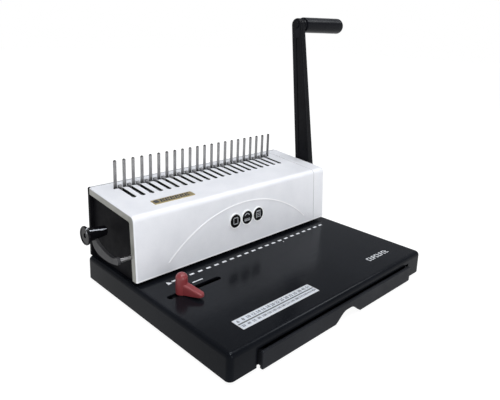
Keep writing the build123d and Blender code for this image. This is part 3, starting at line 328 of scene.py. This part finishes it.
def rubber():
    """Soft black rubber with a little dust."""
    g = Graph("foot_rubber")
    dust = g.noise(0.004, 5.0, 0.7)
    tone = g.mix(g.span(dust, 0.5, 0.75, 0.0, 0.6), (0.012, 0.012, 0.012), (0.05, 0.048, 0.045))
    return g.set(tone, g.span(dust, 0.3, 0.7, 0.75, 0.95), g.bump(g.noise(0.0006, 3.0), 0.00004))


def print_ink(name, colour, worn):
    """Screen-printed ink: a slightly uneven edge-to-edge cover that is worn thin in places."""
    g = Graph(name)
    thin = g.noise(0.0016, 4.0, 0.7)
    tone = g.mix(g.span(thin, 0.45, 0.8), colour, worn)
    return g.set(tone, g.span(thin, 0.3, 0.7, 0.45, 0.6), g.bump(thin, 0.00001))


PANEL_TONES = ((0.0022, 0.0022, 0.0028), (0.0034, 0.0034, 0.0042))
PANEL_BLACK = powder_coat("panel_black", *PANEL_TONES, 0.6, 0.04)
ALONG_X = (1, 30, 30)
ALONG_Z = (30, 30, 1)
SKIN = {
    "white_shell": pearl_paint(),
    "black_shell": moulded(
        "shell_black", (0.0036, 0.0042, 0.0058), (0.0056, 0.0064, 0.0086), 0.19,
        depth=0.000006, spec=0.04, rough_spread=0.04, sheen_up=0.125,
    ),
    "black_plastic": moulded(
        "plastic_black", (0.0035, 0.0035, 0.0045), (0.006, 0.0062, 0.0072), 0.42, spec=0.15
    ),
    "grip_plastic": moulded(
        "grip_black", (0.0045, 0.0046, 0.0062), (0.0075, 0.0078, 0.0098), 0.30,
        grain=0.0006, depth=0.00003, spec=0.06, sheen_up=0.35,
    ),
    "red_plastic": moulded("plastic_red", (0.158, 0.022, 0.026), (0.208, 0.034, 0.038), 0.34, spec=0.4),
    "frame_paint": powder_coat("frame_black", (0.003, 0.003, 0.004), (0.005, 0.005, 0.0065), 0.5, 0.12),
    "lever_paint": powder_coat("lever_black", (0.0036, 0.0038, 0.005), (0.0058, 0.006, 0.0078), 0.30, 0.08),
    "steel": metal("ground_steel", (0.34, 0.34, 0.35), (0.52, 0.52, 0.53), 0.34, ALONG_X),
    "zinc_steel": metal("zinc_plate", (0.42, 0.43, 0.45), (0.60, 0.61, 0.62), 0.30, ALONG_Z),
    "tine_steel": metal(
        "tine_nickel", (0.24, 0.24, 0.245), (0.36, 0.36, 0.365), 0.36, ALONG_Z, ends=(TINE_FOOT, TINE_TOP)
    ),
    "bronze": metal(
        "sintered_bronze", (0.30, 0.19, 0.08), (0.45, 0.30, 0.13), 0.45, (4, 4, 4), 0.0005, 0.00002
    ),
    "rubber": rubber(),
    "badge_black": moulded("badge_gloss", (0.004, 0.004, 0.0045), (0.007, 0.007, 0.008), 0.16, spec=0.3),
    "badge_rim": moulded("badge_rim_light", (0.80, 0.81, 0.82), (0.88, 0.89, 0.90), 0.30),
    "gold_plate": metal("gold_film", (0.58, 0.47, 0.25), (0.70, 0.59, 0.34), 0.42, ALONG_X),
    "white_print": print_ink("ink_white", (0.60, 0.62, 0.65), (0.40, 0.41, 0.43)),
}
# nodes that look different from the rest of their material
OWN_SKIN = {
    "bed_plate": PANEL_BLACK,
    "side_panel": PANEL_BLACK,
    "frame_left": PANEL_BLACK,
    "rear_panel": powder_coat("rear_black", *PANEL_TONES, 0.6, 0.04, edge_highlight=True),
    "chip_drawer": moulded(
        "drawer_black", (0.0095, 0.0102, 0.0125), (0.0135, 0.0145, 0.0175), 0.42, spec=0.05, sheen_up=0.12
    ),
    "opener_knob": moulded(
        "knob_black", (0.0022, 0.0022, 0.003), (0.0036, 0.0036, 0.0046), 0.14,
        grain=0.0006, depth=0.000006, spec=0.14, rough_spread=0.04, knob_highlight=True,
    ),
    "opener_arm": powder_coat("arm_black", (0.016, 0.016, 0.0175), (0.024, 0.024, 0.026), 0.42, 0.16),
}
for name, node in NODES.items():
    for place in node.material_slots:
        place.material = OWN_SKIN.get(name, SKIN[place.material.name])


# ------------------------------------------------------------------ small printed and moulded detail
def axes(origin, u, w):
    """Frame with its first axis along u and its third along w, at origin in millimetres."""
    w = Vector(w).normalized()
    u = Vector(u).normalized()
    v = w.cross(u)
    return Matrix.Translation(Vector(origin) * MM) @ Matrix((u, v, w)).transposed().to_4x4()


def rounded(u, v, width, height, radius, steps=4):
    """Corner-rounded rectangle centred at (u, v)."""
    points = []
    for corner, (su, sv) in enumerate(((1, 1), (-1, 1), (-1, -1), (1, -1))):
        cu, cv = u + su * (width / 2 - radius), v + sv * (height / 2 - radius)
        for step in range(steps + 1):
            angle = math.radians(90 * corner + 90 * step / steps)
            points.append((cu + radius * math.cos(angle), cv + radius * math.sin(angle)))
    return points


def ring(u, v, outer, inner, start, end, steps=16):
    """Band along an arc from start to end degrees."""
    angles = [math.radians(start + (end - start) * i / steps) for i in range(steps + 1)]
    outside = [(u + outer * math.cos(a), v + outer * math.sin(a)) for a in angles]
    inside = [(u + inner * math.cos(a), v + inner * math.sin(a)) for a in reversed(angles)]
    return outside + inside


def add_plate(bm, frame, outline, low, high):
    """Solid plate on the frame's plane from height low to high, all in millimetres."""
    lower = [bm.verts.new(frame @ Vector((u * MM, v * MM, low * MM))) for u, v in outline]
    upper = [bm.verts.new(frame @ Vector((u * MM, v * MM, high * MM))) for u, v in outline]
    for i in range(len(outline)):
        j = (i + 1) % len(outline)
        bm.faces.new((lower[i], lower[j], upper[j], upper[i]))
    bm.faces.new(upper)
    bm.faces.new(list(reversed(lower)))


def finish_piece(name, bm, material, body="base"):
    """Object from bm, riding on body."""
    bmesh.ops.recalc_face_normals(bm, faces=bm.faces)
    made = bpy.data.meshes.new(name)
    bm.to_mesh(made)
    bm.free()
    made.materials.append(material)
    for face in made.polygons:
        face.use_smooth = False
    piece = bpy.data.objects.new(name, made)
    bpy.context.collection.objects.link(piece)
    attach(piece, body)


def plates(name, frame, outlines, low, high, material):
    """One piece from many plates of the same height."""
    bm = bmesh.new()
    for outline in outlines:
        add_plate(bm, frame, outline, low, high)
    finish_piece(name, bm, material)


# height of a figure as a share of the font's size
FIGURE_HEIGHT = 0.7


def numbers(bm, frame, entries, size, low, high):
    """Plain figures from entries (u, v, text), size millimetres tall."""
    for u, v, text in entries:
        curve = bpy.data.curves.new("figure", "FONT")
        curve.body = text
        curve.size = size * MM / FIGURE_HEIGHT
        curve.align_x = "CENTER"
        curve.align_y = "CENTER"
        curve.resolution_u = 2
        curve.extrude = (high - low) / 2 * MM
        curve.offset = 0.03 * size * MM
        holder = bpy.data.objects.new("figure", curve)
        solid = bpy.data.meshes.new_from_object(holder)
        solid.transform(frame @ Matrix.Translation((u * MM, v * MM, (low + high) / 2 * MM)))
        bm.from_mesh(solid)
        bpy.data.objects.remove(holder)
        bpy.data.curves.remove(curve)
        bpy.data.meshes.remove(solid)


GREY_INK = print_ink("ink_grey", (0.30, 0.31, 0.33), (0.20, 0.21, 0.22))
DARK_INK = print_ink("ink_dark", (0.035, 0.036, 0.04), (0.09, 0.09, 0.095))
CELL_INK = print_ink("ink_cell", (0.53, 0.57, 0.62), (0.45, 0.48, 0.53))

# from here down to the stage, sizes are in millimetres, and a FACE is a piece's low and high
# side over its frame's plane
# pictograms of the badges: a punched sheet, a comb, a bound booklet
BADGE_X = (-65.2, -41.6, -18.8)
BADGE_Z = 84.0
BADGE_FACE = (1.15, 1.4)
sheet = [rounded(0.8, 4.6, 7.6, 1.3, 0.4), rounded(0.8, -4.6, 7.6, 1.3, 0.4), rounded(4.6, 0, 1.2, 9.0, 0.4)]
sheet += [rounded(-3.6, v, 1.9, 1.3, 0.4) for v in (-3.2, -1.05, 1.05, 3.2)]
comb = [rounded(0, -4.4, 11.0, 1.7, 0.6)] + [ring(u, -3.4, 2.1, 1.1, 0, 180, 10) for u in (-3.6, 0.0, 3.6)]
comb += [ring(0, 1.2, 5.4, 4.0, 25, 155, 14)]
booklet = [rounded(0.6, 4.6, 8.4, 2.2, 0.5), rounded(-3.6, -1.2, 1.4, 8.6, 0.5)]
booklet += [rounded(4.2, -1.2, 1.2, 8.6, 0.5)]
booklet += [rounded(0.3, v, 5.0, 1.0, 0.4) for v in (1.0, -1.6, -4.2)]
pictograms = (("badge_sheet", sheet), ("badge_comb", comb), ("badge_booklet", booklet))
for x, (name, outlines) in zip(BADGE_X, pictograms):
    badge_frame = axes((x, front_y(BADGE_Z * MM) / MM, BADGE_Z), (1, 0, 0), (0, -1, FRONT_LEAN))
    plates(name, badge_frame, outlines, *BADGE_FACE, GREY_INK)

# top plate: a plain pattern of dark bars on the gold
PLATE_X, PLATE_Y = -154.2, 61.2
PLATE_FRAME = axes((PLATE_X, PLATE_Y, top_z(PLATE_Y * MM) / MM), (1, 0, 0), (0, -TOP_SLOPE, 1))
PLATE_FACE = (0.85, 1.05)
BAR_HALF = 4.2
pattern = [rounded(-27.4, 0.2, 6.6, 7.6, 0.9)]
for i in range(6):
    u = -18.8 + 8.0 * i
    pattern.append([(u - 3.4, -BAR_HALF), (u - 1.0, -BAR_HALF), (u + 1.6, BAR_HALF), (u - 0.8, BAR_HALF)])
    pattern.append([(u, -BAR_HALF), (u + 3.4, -BAR_HALF), (u + 4.1, -1.4), (u + 0.7, -1.4)])
    pattern.append([(u + 1.5, 0.8), (u + 4.5, 0.8), (u + 5.6, BAR_HALF), (u + 2.6, BAR_HALF)])
plates("plate_pattern", PLATE_FRAME, pattern, *PLATE_FACE, DARK_INK)

# table on the base: two rows of cells, comb sizes above and sheet counts below
TABLE_FRAME = axes((-127.25, -111.5, 37.75), (1, 0, 0), (0, 0, 1))
CELL_FACE = (-0.05, 0.04)
RULE_FACE = (-0.05, 0.06)
FIGURE_FACE = (0.0, 0.1)
TABLE_W = 129.0
ROW_V = 4.9
FIGURE_V = 5.0
COMB_SIZES = (6, 8, 10, 12, 14, 16, 18, 20, 22, 25, 28, 32, 35, 38, 45, 51)
SHEETS = (20, 40, 55, 80, 100, 120, 140, 160, 180, 210, 240, 280, 310, 340, 410, 450)
STEP = TABLE_W / len(COMB_SIZES)
column_u = [STEP * (i + 0.5) - TABLE_W / 2 for i in range(len(COMB_SIZES))]
cells = [rounded(u, v, STEP - 1.0, 7.4, 0.4, 2) for u in column_u for v in (ROW_V, -ROW_V)]
plates("table_cells", TABLE_FRAME, cells, *CELL_FACE, CELL_INK)
plates("table_rule", TABLE_FRAME, [rounded(0, 0, TABLE_W + 0.4, 2.0, 0.3, 2)], *RULE_FACE, DARK_INK)
bm = bmesh.new()
for figures, v, size in ((COMB_SIZES, FIGURE_V, 4.6), (SHEETS, -FIGURE_V, 3.4)):
    numbers(bm, TABLE_FRAME, [(u, v, str(n)) for u, n in zip(column_u, figures)], size, *FIGURE_FACE)
finish_piece("table_figures", bm, DARK_INK)

# plain white mark at the right of the base: a row of bars of different lengths
MARK_FRAME = axes((86.0, -112.2, 37.5), (1, 0, 0), (0, 0, 1))
MARK_FACE = (-0.02, 0.15)
MARK_STEP = 6.3
LEFT_V = (3.4, -3.4, 0.0)
RIGHT_V = (-3.2, 1.0, 3.4)
marks = []
for i in range(8):
    u = -23.5 + MARK_STEP * i
    marks.append(rounded(u, 0, 1.5, 8.6, 0.6, 2))
    marks.append(rounded(u + 2.4, LEFT_V[i % 3], 3.4, 1.7, 0.6, 2))
    marks.append(rounded(u + 2.2, RIGHT_V[i % 3], 2.8, 1.5, 0.6, 2))
plates("base_mark", MARK_FRAME, marks, *MARK_FACE, SKIN["white_print"])

# ------------------------------------------------------------------ stage, lights, camera
FLOOR_HALF = 6.0
# the floor is mostly lit from itself, so that the picture's ground stays white
floor_mat = Graph("floor_paper")
floor_tone = floor_mat.mix(floor_mat.noise(0.4, 3.0), (0.15, 0.15, 0.15), (0.17, 0.17, 0.17))
floor_mat.set(floor_tone, 0.9, Emission_Strength=0.93, Emission_Color=(1.0, 1.0, 1.0, 1.0))
mesh = bpy.data.meshes.new("floor")
corners = [(FLOOR_HALF * x, FLOOR_HALF * y, 0) for x, y in ((-1, -1), (1, -1), (1, 1), (-1, 1))]
mesh.from_pydata(corners, [], [(0, 1, 2, 3)])
mesh.materials.append(floor_mat.mat)
floor = bpy.data.objects.new("floor", mesh)
bpy.context.collection.objects.link(floor)

scene = bpy.context.scene
scene.view_settings.view_transform = "Standard"
scene.view_settings.look = "None"
world = bpy.data.worlds.new("studio")
scene.world = world
world.use_nodes = True
sky = world.node_tree
height = sky.nodes.new("ShaderNodeSeparateXYZ")
sky.links.new(sky.nodes.new("ShaderNodeTexCoord").outputs["Generated"], height.inputs[0])
ramp = sky.nodes.new("ShaderNodeValToRGB")
sky.links.new(height.outputs["Z"], ramp.inputs[0])
# white paper round the horizon, a dimmer room above it
WORLD_STOPS = ((0.11, (1.0, 1.0, 1.0)), (0.26, (0.30, 0.31, 0.33)))
for stop, (position, colour) in zip(ramp.color_ramp.elements, WORLD_STOPS):
    stop.position = position
    stop.color = (*colour, 1.0)
sky.links.new(ramp.outputs[0], sky.nodes["Background"].inputs["Color"])
sky.nodes["Background"].inputs["Strength"].default_value = 1.0


def area_light(name, place, target, size, power):
    """Rectangular soft light at place, turned to target."""
    data = bpy.data.lights.new(name, "AREA")
    data.shape = "RECTANGLE"
    data.size, data.size_y = size
    data.energy = power
    made = bpy.data.objects.new(name, data)
    bpy.context.collection.objects.link(made)
    made.location = place
    made.rotation_mode = "QUATERNION"
    made.rotation_quaternion = (Vector(target) - Vector(place)).to_track_quat("-Z", "Y")


area_light("overhead", place=(0.05, -0.1, 1.6), target=(0, 0.05, 0), size=(1.3, 0.9), power=15.5)
area_light("key", place=(-0.65, -0.62, 1.35), target=(0, 0, 0.1), size=(0.36, 0.36), power=7)
area_light("front_fill", place=(-0.55, -1.9, 0.45), target=(0, 0, 0.1), size=(1.0, 0.8), power=10.5)
area_light("right_top", place=(1.07, -0.35, 1.25), target=(0, 0, 0.15), size=(0.45, 0.45), power=3)

# the camera that was fitted to the photograph, in metres
CAMERA_AT = Vector((-0.5385, -0.4707, 0.3572))
CAMERA_RIGHT = Vector((0.72846, -0.68442, 0.03036))
CAMERA_LOOKS = Vector((0.67028, 0.70284, -0.23821))
camera_data = bpy.data.cameras.new("camera")
camera_data.sensor_width = 36.0
camera_data.lens = 36.65
camera_data.shift_x = 0.018
camera_data.shift_y = -0.097
camera_data.clip_start, camera_data.clip_end = 0.01, 50.0
camera = bpy.data.objects.new("camera", camera_data)
bpy.context.collection.objects.link(camera)
up = CAMERA_RIGHT.cross(CAMERA_LOOKS)
turn = Matrix((CAMERA_RIGHT, up, -CAMERA_LOOKS)).transposed()
camera.matrix_world = Matrix.Translation(CAMERA_AT) @ turn.to_4x4()
scene.camera = camera
